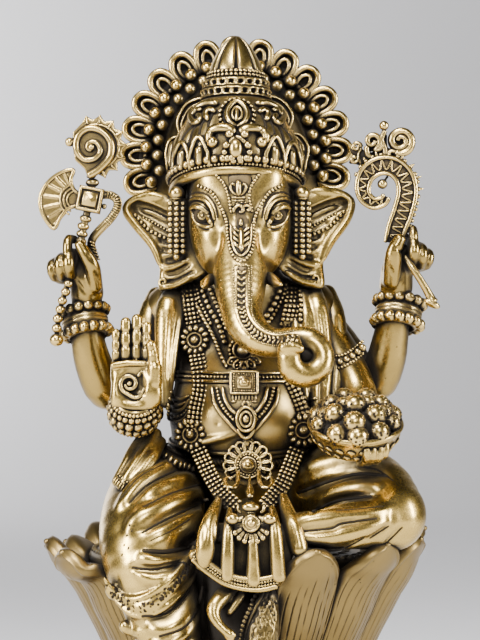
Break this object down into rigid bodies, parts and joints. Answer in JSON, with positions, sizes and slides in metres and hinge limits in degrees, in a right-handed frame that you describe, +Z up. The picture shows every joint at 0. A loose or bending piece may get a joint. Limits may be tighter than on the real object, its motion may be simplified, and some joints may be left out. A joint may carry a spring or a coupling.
{
  "type": "ganesha idol",
  "caption": "Free-standing cast brass idol of four-armed Ganesha seated on an open lotus above a round plinth, with a crown, a feathered halo and hand-held attributes.",
  "frame": {"origin": "centre of the plinth's underside", "axes": "+Z up through the figure, -Y the way the figure faces, +X to the figure's left, which is the viewer's right"},
  "size_m": [0.102, 0.102, 0.1994],
  "materials": {
    "cast_brass": "antique brass, dark patina in the recesses",
    "bright_brass": "hand-rubbed brass on raised beads and bands",
    "lotus_brass": "antique brass, browner between the grooves"
  },
  "bodies": {
    "root": {"plinth": "lotus_brass", "lower_lotus": "lotus_brass", "lotus_cup": "lotus_brass", "petal_01": "lotus_brass", "petal_02": "lotus_brass", "petal_03": "lotus_brass", "petal_04": "lotus_brass", "petal_05": "lotus_brass", "petal_06": "lotus_brass", "petal_07": "lotus_brass", "petal_08": "lotus_brass", "petal_09": "lotus_brass", "petal_10": "lotus_brass", "petal_11": "lotus_brass", "petal_12": "lotus_brass", "petal_13": "lotus_brass", "petal_14": "lotus_brass", "body": "cast_brass", "front_sash": "cast_brass", "head": "cast_brass", "trunk": "cast_brass", "right_tusk": "cast_brass", "left_tusk": "cast_brass", "crown_band": "cast_brass", "crown_dome": "cast_brass", "crown_finial": "cast_brass", "right_ear": "cast_brass", "left_ear": "cast_brass", "halo_plate": "cast_brass", "halo_feathers": "cast_brass", "halo_beads": "cast_brass", "halo_stem": "cast_brass", "rear_right_hand": "cast_brass", "rear_left_hand": "cast_brass", "blessing_hand": "cast_brass", "bowl": "cast_brass", "laddu_heap": "cast_brass", "bowl_hand": "cast_brass", "axe_shaft": "cast_brass", "axe_blade": "cast_brass", "scroll_finial": "cast_brass", "axe_hook": "cast_brass", "goad": "cast_brass", "rear_right_arm": "cast_brass", "rear_left_arm": "cast_brass", "front_right_arm": "cast_brass", "front_left_arm": "cast_brass", "right_leg": "cast_brass", "left_leg": "cast_brass", "right_foot": "cast_brass", "left_foot": "cast_brass", "mouse": "cast_brass", "right_shawl": "cast_brass", "left_shawl": "cast_brass", "rear_right_bangles": "bright_brass", "rear_left_bangles": "bright_brass", "blessing_bangles": "bright_brass", "waist_belt": "bright_brass", "garland": "bright_brass", "chest_ornament": "bright_brass"}
  },
  "joints": []
}
